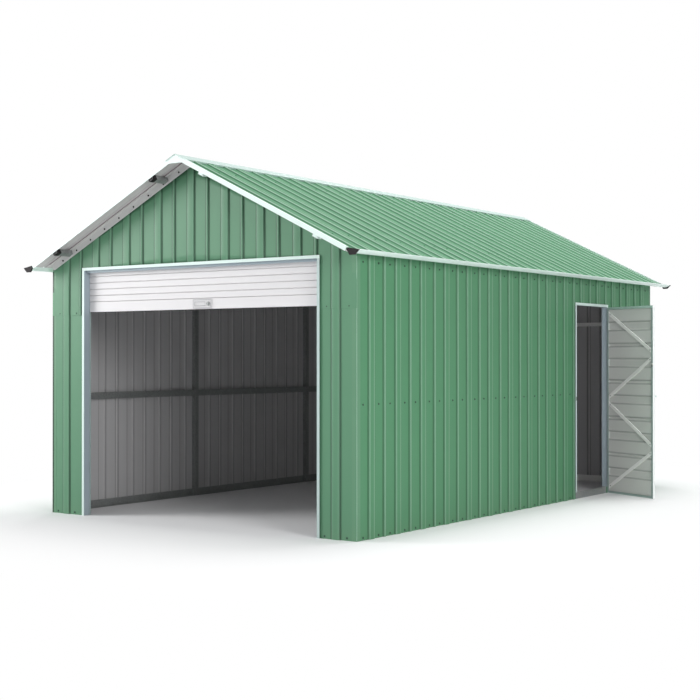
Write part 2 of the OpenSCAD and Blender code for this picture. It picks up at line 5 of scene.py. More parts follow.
import bpy
import numpy as np
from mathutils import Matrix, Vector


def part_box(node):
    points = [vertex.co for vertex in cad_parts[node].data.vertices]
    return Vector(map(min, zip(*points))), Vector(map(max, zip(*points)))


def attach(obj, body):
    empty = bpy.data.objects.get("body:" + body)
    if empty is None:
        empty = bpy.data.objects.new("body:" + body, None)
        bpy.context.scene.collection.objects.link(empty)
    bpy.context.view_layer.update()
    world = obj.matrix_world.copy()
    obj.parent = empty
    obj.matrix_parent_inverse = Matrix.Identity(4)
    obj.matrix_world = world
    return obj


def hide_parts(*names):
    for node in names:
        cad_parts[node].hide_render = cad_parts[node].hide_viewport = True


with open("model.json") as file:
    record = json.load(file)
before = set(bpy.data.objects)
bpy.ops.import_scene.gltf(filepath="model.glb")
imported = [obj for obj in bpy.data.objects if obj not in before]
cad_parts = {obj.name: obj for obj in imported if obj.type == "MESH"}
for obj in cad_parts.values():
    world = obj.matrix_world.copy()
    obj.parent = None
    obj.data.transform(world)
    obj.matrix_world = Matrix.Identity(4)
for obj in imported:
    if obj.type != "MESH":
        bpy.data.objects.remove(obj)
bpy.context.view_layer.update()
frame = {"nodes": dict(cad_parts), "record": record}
print("frame loaded:", len(frame["nodes"]), "nodes")


# Shader helpers

class Flow:
    # wraps one socket of a material; sums, products and powers on it add Math nodes
    def __init__(self, tree, socket=None):
        self.tree, self.socket = tree, socket

    def add(self, kind, settings=None, inputs=None, output=0):
        node = self.tree.nodes.new("ShaderNode" + kind)
        for key, value in (settings or {}).items():
            setattr(node, key, value)
        for key, value in (inputs or {}).items():
            if isinstance(value, Flow):
                self.tree.links.new(value.socket, node.inputs[key])
            else:
                node.inputs[key].default_value = value
        return Flow(self.tree, node.outputs[output] if node.outputs else None)

    def calc(self, operation, *values):
        return self.add("Math", {"operation": operation}, dict(enumerate(values)))

    def __add__(self, other): return self.calc("ADD", self, other)
    def __radd__(self, other): return self.calc("ADD", other, self)
    def __sub__(self, other): return self.calc("SUBTRACT", self, other)
    def __rsub__(self, other): return self.calc("SUBTRACT", other, self)
    def __mul__(self, other): return self.calc("MULTIPLY", self, other)
    def __pow__(self, other): return self.calc("POWER", self, other)


def tint(red, green, blue):
    # a colour as it looks on screen, 0 to 255, turned linear
    part = np.array([red, green, blue]) / 255
    linear = np.where(part <= 0.04045, part / 12.92, ((part + 0.055) / 1.055) ** 2.4)
    return (*[float(x) for x in linear], 1.0)


def blendColour(flow, factor, first, second):
    return flow.add("Mix", {"data_type": "RGBA"}, {0: factor, 6: first, 7: second}, output=2)


def noise(flow, place, scale, detail=2.0, rough=0.5, stretch=(1, 1, 1)):
    moved = flow.add("VectorMath", {"operation": "MULTIPLY"}, {0: place, 1: stretch})
    return flow.add("TexNoise", None, {"Vector": moved, "Scale": scale, "Detail": detail,
                                       "Roughness": rough})


def ramped(value, low, high):
    # 0 below low, 1 above high, straight between
    return value.add("MapRange", None, {0: value, 1: low, 2: high, 3: 0.0, 4: 1.0})


def newMaterial(name, make):
    material = bpy.data.materials.new(name)
    material.use_nodes = True
    material.node_tree.nodes.clear()
    start = Flow(material.node_tree)
    shader = make(start)
    start.add("OutputMaterial", inputs={"Surface": shader})
    return material


# Finishes

paintLook = {
    "driftScale": 0.7, "drift": 0.05,
    "streakScale": 9.0, "streak": 0.05, "grain": (1.0, 1.0, 0.04),
    "gritScale": 260.0, "grit": 0.12, "gritDeep": 0.0002,
    "waveScale": 3.2, "wave": 0.25, "waveDeep": 0.004, "waveStretch": (1.0, 1.0, 0.45),
    "dustTop": 0.25, "dust": 0.10, "dustColour": tint(150, 150, 135),
    # the next two lines: painted shade at the ribs' feet and a painted highlight along their
    # crests, off unless a finish sets them
    "foldShade": 0.0, "foldColour": tint(26, 54, 38),
    "crestPale": 0.0, "crestColour": tint(176, 204, 188),
    "faceFrom": 0.8, "faceTo": 0.95,
    "rough": 0.42, "roughGrit": 0.06, "roughDrift": 0.10, "roughDust": 0.15,
    "shine": 0.5, "bend": 1.48,
}
downSlope = {"grain": (0.04, 1.0, 0.04), "waveStretch": (0.45, 1.0, 0.45)}
acrossLeaf = {"grain": (0.05, 0.05, 1.0), "waveStretch": (1.0, 1.0, 1.0)}


def painted(name, **changes):
    # paint on sheet: broad tone drift, faint streaks down the sheet, painted shade at the ribs'
    # feet, a painted highlight along their crests, dust by the ground; a surround may have a
    # second colour on the side that faces one way
    look = {**paintLook, **changes}

    def make(start):
        place = start.add("TexCoord", output=3)
        height = start.add("SeparateXYZ", inputs={0: place}, output=2)
        drift = noise(start, place, look["driftScale"], 3.0)
        streaks = noise(start, place, look["streakScale"], 4.0, 0.6, look["grain"])
        grit = noise(start, place, look["gritScale"])
        tone = (drift - 0.5) * look["drift"] + (streaks - 0.5) * look["streak"] + 1.0
        paint = look["colour"]
        if "faceColour" in look:
            normal = start.add("TexCoord", output=1)
            facing = start.add("VectorMath", {"operation": "DOT_PRODUCT"},
                               {0: normal, 1: look["faceToward"]}, output=1)
            paint = blendColour(start, ramped(facing, look["faceFrom"], look["faceTo"]),
                                paint, look["faceColour"])
        colour = start.add("HueSaturation", inputs={"Color": paint, "Value": tone})
        # the crest mark paints a highlight along the ribs' crests, the fold mark paints shade at
        # their feet
        for mark, amount in (("crest", look["crestPale"]), ("fold", look["foldShade"])):
            share = start.add("Attribute", {"attribute_name": mark}, output=2) * amount
            colour = blendColour(start, share, colour, look[mark + "Colour"])
        dust = (1.0 - ramped(height, 0.0, look["dustTop"])) ** 2.0 * (drift * 0.6 + 0.4)
        colour = blendColour(start, dust * look["dust"], colour, look["dustColour"])
        rough = (look["rough"] + (grit - 0.5) * look["roughGrit"]
                 + (drift - 0.5) * look["roughDrift"] + dust * look["roughDust"])
        waves = noise(start, place, look["waveScale"], 1.0, 0.4, look["waveStretch"])
        bump = start.add("Bump", inputs={"Strength": look["wave"],
                                         "Distance": look["waveDeep"], "Height": waves})
        bump = start.add("Bump", inputs={"Strength": look["grit"], "Height": grit,
                                         "Distance": look["gritDeep"], "Normal": bump})
        return start.add("BsdfPrincipled", inputs={
            "Base Color": colour, "Roughness": rough, "Normal": bump, "IOR": look["bend"],
            "Specular IOR Level": look["shine"]})
    return newMaterial(name, make)


zincLook = {"bloomScale": 7.0, "bloom": 0.25, "bloomBump": 0.15, "bloomDeep": 0.0003,
            "roughGrey": 0.12, "roughBloom": 0.15}


def galvanised(name, **changes):
    # galvanised steel: crystals of slightly different greys, dull white bloom between them
    look = {**zincLook, **changes}

    def make(start):
        place = start.add("TexCoord", output=3)
        crystals = start.add("TexVoronoi", {"feature": "F1"},
                             {"Vector": place, "Scale": look["crystals"]}, output=1)
        grey = start.add("SeparateColor", inputs={0: crystals})
        bloom = noise(start, place, look["bloomScale"], 4.0, 0.6)
        tone = (grey - 0.5) * look["contrast"] + (bloom - 0.5) * look["bloom"] + 1.0
        colour = start.add("HueSaturation", inputs={"Color": look["colour"], "Value": tone})
        rough = (look["rough"] + (grey - 0.5) * look["roughGrey"]
                 + (bloom - 0.5) * look["roughBloom"])
        bump = start.add("Bump", inputs={"Strength": look["bloomBump"],
                                         "Distance": look["bloomDeep"], "Height": bloom})
        return start.add("BsdfPrincipled", inputs={
            "Base Color": colour, "Roughness": rough, "Metallic": look["metallic"],
            "Normal": bump})
    return newMaterial(name, make)


plasticLook = {"grainScale": 700.0, "grain": 0.2, "grainDeep": 0.0002, "roughGrain": 0.1,
               "cloudScale": 12.0, "cloud": 0.3, "shine": 0.2}


def moulded(name, **changes):
    # moulded plastic with a fine grain
    look = {**plasticLook, **changes}

    def make(start):
        place = start.add("TexCoord", output=3)
        grain = noise(start, place, look["grainScale"])
        cloud = noise(start, place, look["cloudScale"], 3.0)
        colour = start.add("HueSaturation", inputs={
            "Color": look["colour"], "Value": (cloud - 0.5) * look["cloud"] + 1.0})
        bump = start.add("Bump", inputs={"Strength": look["grain"],
                                         "Distance": look["grainDeep"], "Height": grain})
        return start.add("BsdfPrincipled", inputs={
            "Base Color": colour, "Specular IOR Level": look["shine"], "Normal": bump,
            "Roughness": (grain - 0.5) * look["roughGrain"] + look["rough"]})
    return newMaterial(name, make)


hinge = frame["record"]["behaviour"]["joints"][0]
openAngle = math.radians(-hinge["range_deg"][0])
openTurn = np.array([[math.cos(openAngle), -math.sin(openAngle), 0],
                     [math.sin(openAngle), math.cos(openAngle), 0], [0, 0, 1]])
pinPlace = np.array([hinge["pos_m"][0], hinge["pos_m"][1], 0.0])
freeWay = tuple(float(x) for x in openTurn @ (0, -1, 0))   # from the hinge to the free edge

mintPaint, reveal = tint(214, 233, 227), tint(160, 174, 182)
finishes = {
    # green and sideGreen are one wall paint in two copies: the front, rear and door copy is
    # greyer as a painted sheen, with darker painted shade at the ribs' feet; the side copy is
    # more saturated, with stronger painted highlights on the crests. In every finish here the
    # crest share is a painted highlight and the fold share painted shade
    "green": painted("greenWithPaintedSheen", colour=tint(90, 138, 107), foldShade=0.75, crestPale=0.12,
                     shine=0.35),
    "sideGreen": painted("sideGreenPaint", colour=tint(82, 137, 100), foldShade=0.5,
                         crestPale=0.36, shine=0.25),
    "fascia": painted("fasciaPaint", colour=tint(226, 241, 236), rough=0.38, streak=0.03,
                      dust=0.0),
    "greenTrim": painted("greenTrimPaint", colour=tint(90, 138, 106)),
    "roofGreen": painted("roofPaint", **downSlope, colour=tint(76, 138, 98), dust=0.0,
                         rough=0.5, foldShade=0.35, crestPale=0.7,
                         crestColour=tint(206, 232, 216), shine=0.15),
    "lining": painted("greyPrimer", colour=tint(190, 189, 190), rough=0.55, dust=0.15,
                      foldShade=0.5, foldColour=tint(70, 70, 70), crestPale=0.2,
                      crestColour=tint(235, 228, 228)),
    "roofLining": painted("palePrimer", **downSlope, colour=tint(200, 196, 197), rough=0.55,
                          foldShade=0.4, foldColour=tint(110, 105, 106)),
    "leafLining": painted("leafPrimer", **acrossLeaf, colour=tint(220, 221, 217), rough=0.5,
                          foldShade=0.45, foldColour=tint(92, 98, 96), crestPale=0.3,
                          crestColour=tint(245, 245, 242)),
    "mint": painted("mintWhitePaint", colour=mintPaint, rough=0.38, streak=0.03),
    "greyWhite": painted("greyWhitePaint", colour=tint(196, 196, 195), streak=0.03),
    "frontSurround": painted("frontSurroundPaint", colour=reveal, faceColour=mintPaint,
                             faceToward=(0, -1, 0)),
    # the right jamb's front face is a darker copy of the mint trim, painted shade
    "rightSurroundShaded": painted("rightSurroundPaint", colour=reveal,
                             faceColour=tint(184, 203, 200), faceToward=(0, -1, 0)),
    "sideSurround": painted("sideSurroundPaint", colour=reveal, faceColour=mintPaint,
                            faceToward=(1, 0, 0)),
    "leafFrame": painted("leafFramePaint", colour=tint(156, 176, 172),
                         faceColour=tint(252, 255, 254), faceToward=freeWay),
    "brace": painted("bracePaint", colour=tint(250, 250, 247), rough=0.4),
    "shutter": painted("shutterPaint", colour=tint(220, 218, 219), grain=(0.05, 1.0, 1.0),
                       streak=0.03, dust=0.0),
    "lockPlate": painted("lockPaint", colour=tint(216, 215, 216), rough=0.35, dust=0.0),
    "outline": painted("outlinePaint", colour=tint(182, 182, 185), rough=0.4, dust=0.0),
    # pale strip as a painted highlight on the right corner folds, dark strip as painted shade on
    # the left ones
    "cornerEdge": painted("cornerHighlightPaint", colour=tint(140, 176, 154), rough=0.4),
    "cornerShade": painted("cornerShadePaint", colour=tint(30, 62, 44), rough=0.5),
    "seam": painted("seamPaint", colour=tint(104, 80, 84), rough=0.6, dust=0.0),
    "ridge": painted("ridgePaint", colour=tint(184, 205, 198), rough=0.45, dust=0.0),
    "topRail": painted("topRailPaint", colour=tint(176, 205, 193), rough=0.4),
    "zinc": galvanised("zincSteel", colour=tint(150, 153, 152), crystals=90.0, contrast=0.25,
                       rough=0.5, metallic=0.55),
    "screw": galvanised("screwPaint", colour=tint(58, 84, 70), crystals=300.0, contrast=0.15,
                        rough=0.4, metallic=0.3),
    "black": moulded("capPlastic", colour=tint(36, 32, 34), rough=0.6),
    "rubber": moulded("sealRubber", colour=tint(34, 34, 35), rough=0.7),
}
print("finishes made:", len(finishes))

finishOfSlot = {
    "green_sheet": "green", "green_trim": "greenTrim", "roof_sheet": "roofGreen",
    "white_trim": "mint", "shutter_white": "shutter", "galvanised": "zinc",
    "jamb_steel": "sideSurround", "door_sheet": "green", "lock_metal": "lockPlate",
    "black_plastic": "black",
}
finishOfNode = {
    "front_jamb_left": "frontSurround", "front_jamb_right": "rightSurroundShaded",
    "front_head": "frontSurround", "ridge_cap": "ridge", "fascia_front": "fascia",
    "fascia_rear": "fascia", "gutter_left": "fascia", "gutter_right": "fascia",
    "side_head": "sideSurround", "gable_trims": "greyWhite",
    "door_frame": "leafFrame", "door_braces": "brace", "door_handle": "mint",
    "rear_rail": "brace", "base_rail_rear": "brace",
}
for part in frame["record"]["subparts"]:
    mesh = frame["nodes"][part["node"]].data
    mesh.materials.clear()
    key = finishOfNode.get(part["node"], finishOfSlot[part["material_slot"]])
    mesh.materials.append(finishes[key])


# Mesh helpers

def addPiece(name, points, faces, finish, body, smooth=True):
    mesh = bpy.data.meshes.new(name)
    mesh.from_pydata(np.asarray(points).reshape(-1, 3).tolist(), [],
                     np.asarray(faces).reshape(len(faces), -1).tolist())
    mesh.validate()
    mesh.polygons.foreach_set("use_smooth", np.full(len(mesh.polygons), smooth))
    piece = bpy.data.objects.new(name, mesh)
    bpy.context.scene.collection.objects.link(piece)
    for key in [finish] if isinstance(finish, str) else finish:
        mesh.materials.append(finishes[key])
    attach(piece, body)
    return piece


def gridFaces(rows, columns, closeColumns=False):
    # quads between the points of a grid that is stored row after row
    index = np.arange(rows * columns).reshape(rows, columns)
    if closeColumns:
        index = np.concatenate([index, index[:, :1]], axis=1)
    return np.stack([index[:-1, :-1], index[:-1, 1:], index[1:, 1:], index[1:, :-1]],
                    axis=-1).reshape(-1, 4)


def leafOpen(points):
    # from the leaf drawn shut to the leaf as it stands open
    return (np.asarray(points, float) - pinPlace) @ openTurn.T + pinPlace


def leafBox(node):
    # lowest and highest corner of a node on the leaf, turned shut
    mesh = frame["nodes"][node].data
    points = np.empty(len(mesh.vertices) * 3)
    mesh.vertices.foreach_get("co", points)
    points = (points.reshape(-1, 3) - pinPlace) @ openTurn + pinPlace
    return points.min(axis=0), points.max(axis=0)


# Ribbed sheet. The rib's height at a place s along the sheet rises straight up its web and
# then goes over the crest as a flat arch, averaged over a short stretch for round folds.

# shade and shadeReach place the painted shade beside the ribs' feet; crestIn and crestReach
# place the painted highlight on their crests
rib = {"pitch": 0.366, "pan": 0.118, "narrow": 0.034, "wide": 0.086, "web": 0.009,
       "height": 0.012, "dome": 0.12, "fold": 0.002, "sheet": 0.001, "rim": 0.0012,
       "shade": np.array([0.004, 0.008, 0.013, 0.020]), "shadeReach": 0.007,
       "crestIn": 1.4, "crestReach": 0.006, "bow": 0.0006, "bowUp": 3.1, "bowAcross": 5.7}


def ribSpots(low, high, phase, edge):
    # start and width of each rib between low and high, where a wide rib ends at phase
    turns = np.arange(math.floor((low - phase) / rib["pitch"]) - 1,
                      math.ceil((high - phase) / rib["pitch"]) + 2)
    starts = phase + turns[:, None] * rib["pitch"] + [rib["pan"], rib["pitch"] - rib["wide"]]
    widths = np.broadcast_to([rib["narrow"], rib["wide"]], starts.shape)
    spots = np.stack([starts.ravel(), widths.ravel()])
    keep = (spots[0] > low + edge) & (spots[0] + spots[1] < high - edge)
    return spots[:, keep]


def ribHeight(s, start, width):
    inside = s - start
    web = np.clip(np.minimum(inside, width - inside) / rib["web"], 0, 1)
    arch = (inside - width / 2) / (width / 2 - rib["web"])
    return web * (1 - rib["dome"] * np.clip(arch ** 2, 0, 1))


def ribLine(low, high, spots, marks=()):
    # places along the sheet, close together in the folds, the rib's height at each, the
    # painted shade by its feet and the painted highlight along the folds of its crest
    start, width = spots
    across = start + width * np.linspace(0.2, 0.8, 5)[:, None]
    folds = np.stack([start, start + rib["web"], start + width - rib["web"], start + width])
    spread = rib["fold"] * np.array([-1, -0.5, 0, 0.5, 1])
    feet = np.concatenate([start, start + width])
    beside = np.concatenate([-rib["shade"], rib["shade"]])
    ends = [low, low + rib["rim"], high - rib["rim"], high, *marks]
    s = np.concatenate([(folds[..., None] + spread).ravel(), across.ravel(),
                        (feet[:, None] + beside).ravel(), ends, [0.0] if low < 0 < high else []])
    s = np.unique(np.round(s[(s >= low) & (s <= high)], 5))
    offsets = np.linspace(-1, 1, 9) * rib["fold"]
    around = s[:, None, None] + offsets[None, None, :]
    every = ribHeight(around, start[None, :, None], width[None, :, None])
    height = every.max(axis=1).mean(axis=1)
    inward = rib["web"] * rib["crestIn"]
    crests = np.concatenate([start + inward, start + width - inward])

    def near(lines, reach):
        return np.exp(-(np.abs(s[:, None] - lines[None, :]).min(axis=1) / reach) ** 2)
    # fold marks where shade is painted by the feet, crest where a highlight is painted on the
    # crests
    return (s, height * rib["height"],
            {"fold": near(feet, rib["shadeReach"]), "crest": near(crests, rib["crestReach"])})


def evenRows(low, high, count):
    # heights of a sheet's rows, with one close to each end so that the rim shades crisply
    share = np.linspace(0, 1, count)[:, None]
    rise = low + (high - low) * share
    return np.concatenate([rise[:1], rise[:1] + rib["rim"], rise[1:-1],
                           rise[-1:] - rib["rim"], rise[-1:]])


def ribbedSheet(name, origin, along, outward, up, span, phase, edge, rows, **look):
    # a grid of places along the sheet and up it, pushed outward by the rib's height, with the
    # pans bowed by a slow wave of under a millimetre, as rolled sheet is; lift is a function
    # of the height that pushes the sheet out, and hole drops the faces of an opening
    s, height, marked = ribLine(*span, ribSpots(*span, phase, edge), look.get("marks", ()))
    rise = rows(s)
    wave = (rib["bow"] * np.sin(rise * rib["bowUp"] + s * rib["bowAcross"])
            * (1 - height / rib["height"]))
    push = height + wave + (look["lift"](rise) if "lift" in look else 0)
    along, outward, up = (np.array(v, float) for v in (along, outward, up))
    points = (np.array(origin, float) + s[None, :, None] * along
              + push[..., None] * outward + rise[..., None] * up)
    faces = gridFaces(*rise.shape)
    if "hole" in look:
        left, right, top = look["hole"]
        middle = np.stack([np.broadcast_to(s, rise.shape).ravel()[faces].mean(axis=1),
                           rise.ravel()[faces].mean(axis=1)])
        faces = faces[(middle[0] < left) | (middle[0] > right) | (middle[1] > top)]
    if np.dot(np.cross(along, up), outward) < 0:
        faces = faces[:, ::-1]
    piece = addPiece(name, points, faces, look["finish"], look.get("body", "shed"))
    # the marks of painted shade and painted highlight go onto the sheet's points
    for key, share in marked.items():
        attribute = piece.data.attributes.new(key, "FLOAT", "POINT")
        attribute.data.foreach_set("value", np.broadcast_to(share, rise.shape).ravel())
    shell = piece.modifiers.new("thickness", "SOLIDIFY")
    shell.thickness, shell.offset, shell.material_offset = rib["sheet"], -1.0, 1
    return piece


sheetBox = {node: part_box(node) for node in frame["nodes"]}
panX = sheetBox["right_wall_front"][1].x - rib["height"]   # flat pans of the side walls
panY = sheetBox["rear_wall"][1].y - rib["height"]
frontSheetTop = sheetBox["front_wall_right"][1].z
sideSheetTop = sheetBox["right_wall_front"][1].z
sheetEdge, doorEdge, cornerEdge, roofEdge, leafEdge = 0.004, 0.029, 0.045, 0.010, 0.022
frontPhase, sidePhase, leafPhase = 0.037, -panY + 0.231, 0.258
lapZ, lapUp, lapOut, lapFade = 1.745, 0.040, 0.0018, 0.25   # seam of the front sheets
slope, roofFoot, overhang = math.radians(26), 2.195, 0.050
ridgeZ = roofFoot + math.tan(slope) * panX      # underside of the roof sheet at the ridge
purlinH, roofTop = 0.040, 0.002
sides, ends = {"left": -1, "right": 1}, {"front": -1, "rear": 1}


def underPurlins(x):
    return ridgeZ - math.tan(slope) * np.abs(x) - purlinH / math.cos(slope)


def straightRows(bottom, top, count=13):
    # rows from bottom to top, each a height or a function of the place along the sheet
    def rows(s):
        low, high = (f(s) if callable(f) else np.full(s.shape, f) for f in (bottom, top))
        return evenRows(low[None, :], high[None, :], count)
    return rows


def frontUpperRows(s):
    # level rows beside the opening, then rows that fan out to the gable's slope
    level = np.linspace(lapZ, frontSheetTop, 5)[:, None] + 0 * s
    fan = np.linspace(0, 1, 10)[1:, None] * (underPurlins(s) - frontSheetTop) + frontSheetTop
    return np.concatenate([level[:1], level[:1] + rib["rim"], level[1:], fan])


def lapLift(z):
    # the upper sheet lies over the lower one at the lap, and back on the wall by its opening
    return lapOut * np.clip((frontSheetTop - z) / lapFade, 0, 1)


def wallSheets():
    green = {"finish": ["green", "lining"], "slot": "green_sheet"}
    sideGreen = {"finish": ["sideGreen", "lining"], "slot": "green_sheet"}
    toFront = dict(origin=(0, -panY, 0), along=(1, 0, 0), outward=(0, -1, 0), up=(0, 0, 1))
    toRear = dict(origin=(0, panY, 0), along=(-1, 0, 0), outward=(0, 1, 0), up=(0, 0, 1))
    toRight = dict(origin=(panX, 0, 0), along=(0, 1, 0), outward=(1, 0, 0), up=(0, 0, 1))
    toLeft = dict(origin=(-panX, 0, 0), along=(0, -1, 0), outward=(-1, 0, 0), up=(0, 0, 1))
    frontSpan = {n: (sheetBox[n][0].x, sheetBox[n][1].x)
                 for n in ("front_wall_left", "front_wall_right", "front_gable")}
    sideSpan = {n: (sheetBox[n][0].y, sheetBox[n][1].y) for n in
                ("right_wall_front", "right_wall_over_door", "right_wall_rear", "left_wall")}
    doorTop = sheetBox["right_wall_over_door"][0].z
    full, lower = straightRows(0, sideSheetTop), straightRows(0, lapZ + lapUp)
    sheets = [
        ("front_wall_left", toFront, frontSpan["front_wall_left"], cornerEdge, lower),
        ("front_wall_right", toFront, frontSpan["front_wall_right"], cornerEdge, lower),
        ("rear_wall", toRear, (-panX, panX), cornerEdge, straightRows(0, underPurlins)),
        ("right_wall_front", toRight, sideSpan["right_wall_front"], doorEdge, full),
        ("right_wall_over_door", toRight, sideSpan["right_wall_over_door"], sheetEdge,
         straightRows(doorTop, sideSheetTop, 5)),
        ("right_wall_rear", toRight, sideSpan["right_wall_rear"], cornerEdge, full),
        ("left_wall", toLeft, sideSpan["left_wall"], cornerEdge, full),
    ]
    for node, place, span, edge, rows in sheets:
        phase, look = (sidePhase, sideGreen) if node in sideSpan else (frontPhase, green)
        piece = ribbedSheet(node + "_sheet", span=span, phase=phase, edge=edge, rows=rows,
                            **place, **look)
        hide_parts(node)
    opening = (frontSpan["front_wall_left"][1], frontSpan["front_wall_right"][0])
    upper = ribbedSheet(
        "front_gable_sheet", span=frontSpan["front_gable"], phase=frontPhase, edge=cornerEdge,
        rows=frontUpperRows, marks=opening, hole=(*opening, frontSheetTop), lift=lapLift,
        **toFront, **green)
    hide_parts("front_gable")


def roofSheets():
    endY = sheetBox["roof_right"][1].y
    runDown = (panX + overhang) / math.cos(slope)
    for name, side in sides.items():
        node = "roof_" + name
        down = (side * math.cos(slope), 0, -math.sin(slope))
        outward = (side * math.sin(slope), 0, math.cos(slope))
        lift = np.array(outward) * rib["sheet"]
        piece = ribbedSheet(node + "_sheet", origin=(lift[0], 0, ridgeZ + lift[2]),
                            along=(0, 1, 0), outward=outward, up=down,
                            span=(-endY, endY), phase=-endY, edge=roofEdge,
                            rows=straightRows(roofTop, runDown, 9),
                            finish=["roofGreen", "roofLining"], slot="roof_sheet")
        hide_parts(node)


def leafSheet():
    low, high = leafBox("door_skin")
    hung = leafOpen((high[0] - rib["height"], high[1], low[2]))
    piece = ribbedSheet("door_skin_sheet", origin=hung, along=(0, 0, 1),
                        outward=openTurn @ (1, 0, 0), up=freeWay, span=(0, high[2] - low[2]),
                        phase=leafPhase, edge=leafEdge,
                        rows=straightRows(0, high[1] - low[1], 5),
                        finish=["green", "leafLining"], slot="door_sheet", body="side_door")
    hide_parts("door_skin")


wallSheets()
roofSheets()
leafSheet()
print("ribbed sheets made")


# Fasteners. Each head is a small surface of revolution, its rings carried to every place.

def heads(name, places, normals, rings, finish, body="shed", turns=12, corners=0):
    # rings are pairs of radius and height; from the third on they can have a nut's corners
    places, normals = np.atleast_2d(places), np.atleast_2d(normals)
    normals = np.broadcast_to(normals / np.linalg.norm(normals, axis=1)[:, None], places.shape)
    helper = np.where(np.abs(normals[:, 2:]) > 0.9, [[1.0, 0, 0]], [[0, 0, 1.0]])
    first = np.cross(helper, normals)
    first /= np.linalg.norm(first, axis=1)[:, None]
    second = np.cross(normals, first)
    turn = np.arange(turns) / turns * 2 * math.pi
    radius = np.array([r for r, _ in rings])[:, None] * np.ones(turns)
    height = np.array([h for _, h in rings])[:, None] * np.ones(turns)
    if corners:
        half = math.pi / corners
        radius[2:] *= np.cos(half) / np.cos((turn + half) % (2 * half) - half)

    def along(reach, axis):
        return reach[None, ..., None] * axis[:, None, None, :]
    points = (places[:, None, None, :] + along(radius * np.cos(turn), first)
              + along(radius * np.sin(turn), second) + along(height, normals))
    one = gridFaces(len(rings), turns, closeColumns=True)
    step = np.arange(len(places))[:, None, None] * len(rings) * turns
    return addPiece(name, points, (one[None] + step).reshape(-1, 4), finish, body, False)


screwRings = [(0.0085, -0.0005), (0.0085, 0.0012), (0.0062, 0.0014), (0.0060, 0.0050),
              (0.0046, 0.0060), (0.0001, 0.0060)]
rivetRings = [(0.0062, -0.0003), (0.0062, 0.0006), (0.0050, 0.0019), (0.0026, 0.0028),
              (0.0001, 0.0030)]
fastenerLook = {
    "foot": 0.020, "mid": 1.020, "underEave": 0.090, "underGable": 0.050, "margin": 0.030,
    "overLap": 0.018, "lapShift": 0.020,
    "trimStep": 0.172, "trimFirst": 0.130, "trimDrop": 0.036, "trimOut": 0.0015,
    "roofLift": 0.001, "roofMargin": 0.040, "roofRidge": 0.035, "roofEave": 0.030,
}


def panCentres(low, high, phase):
    starts = phase + np.arange(-20, 21) * rib["pitch"]
    widePan = starts + rib["pan"] + rib["narrow"]
    narrowMid = starts + rib["pan"] / 2
    wideMid = (widePan + starts + rib["pitch"] - rib["wide"]) / 2
    s = np.sort(np.concatenate([narrowMid, wideMid]))
    return s[(s > low) & (s < high)]


def onWall(axis, face, across, heights):
    # rows of places on a wall whose pans lie at face on axis x (0) or y (1)
    s, z = (grid.ravel() for grid in np.meshgrid(across, heights))
    return np.insert(np.stack([s, z], 1), axis, face, 1)


def wallScrews():
    look = fastenerLook
    foot, mid, margin = look["foot"], look["mid"], look["margin"]
    eave, door = sideSheetTop - look["underEave"], sheetBox["right_wall_over_door"]
    y = panCentres(-panY + margin, panY - margin, sidePhase)
    clear = y[(y < door[0].y - margin) | (y > door[1].y + margin)]
    x = panCentres(-panX + margin, panX - margin, frontPhase)
    beside = x[(x < sheetBox["front_jamb_left"][0].x) | (x > sheetBox["front_jamb_right"][1].x)]
    right = np.concatenate([onWall(0, panX, clear, [foot, mid]), onWall(0, panX, y, [eave])])
    left = onWall(0, -panX, -y, [foot, mid, eave])
    front = onWall(1, -panY, beside, [foot])
    lap = onWall(1, -panY - lapOut, beside + look["lapShift"], [lapZ + look["overLap"]])
    rear = onWall(1, panY, -x, [foot, lapZ, underPurlins(panX) - look["underGable"]])
    for name, outward, places in (
            ("right_wall_screws", (1, 0, 0), right), ("left_wall_screws", (-1, 0, 0), left),
            ("front_wall_screws", (0, -1, 0), front), ("front_lap_rivets", (0, -1, 0), lap),
            ("rear_wall_screws", (0, 1, 0), rear)):
        rings, corners = (rivetRings, 0) if places is lap else (screwRings, 6)
        heads(name, places, outward, rings, "screw", corners=corners)


def trimScrews():
    # along the trims under both ends of the roof, a little above their lower edge
    look, face = fastenerLook, panY + rib["height"] + fastenerLook["trimOut"]
    along = np.arange(look["trimFirst"], panX - look["margin"], look["trimStep"])
    x = np.concatenate([along, -along])
    z = ridgeZ - look["trimDrop"] - math.tan(slope) * np.abs(x)
    for name, way in ends.items():
        heads(name + "_trim_rivets", np.stack([x, 0 * x + way * face, z], 1), [0, way, 0],
              screwRings, "black", corners=6)


def roofScrews():
    # in the pans over each purlin
    look = fastenerLook
    low, high = sheetBox["purlins_right"][0].x, sheetBox["purlins_right"][1].x
    endY = sheetBox["roof_right"][1].y - look["roofMargin"]
    y = panCentres(-endY, endY, -sheetBox["roof_right"][1].y)
    s, x = (grid.ravel() for grid in
            np.meshgrid(y, [low + look["roofRidge"], high - look["roofEave"]]))
    z = ridgeZ - math.tan(slope) * x + look["roofLift"]
    for name, side in sides.items():
        heads(f"roof_{name}_screws", np.stack([side * x, s, z], 1),
              [side * math.sin(slope), 0, math.cos(slope)], screwRings, "roofGreen",
              corners=6)


wallScrews()
trimScrews()
roofScrews()
print("screws made")


# Small rounded parts

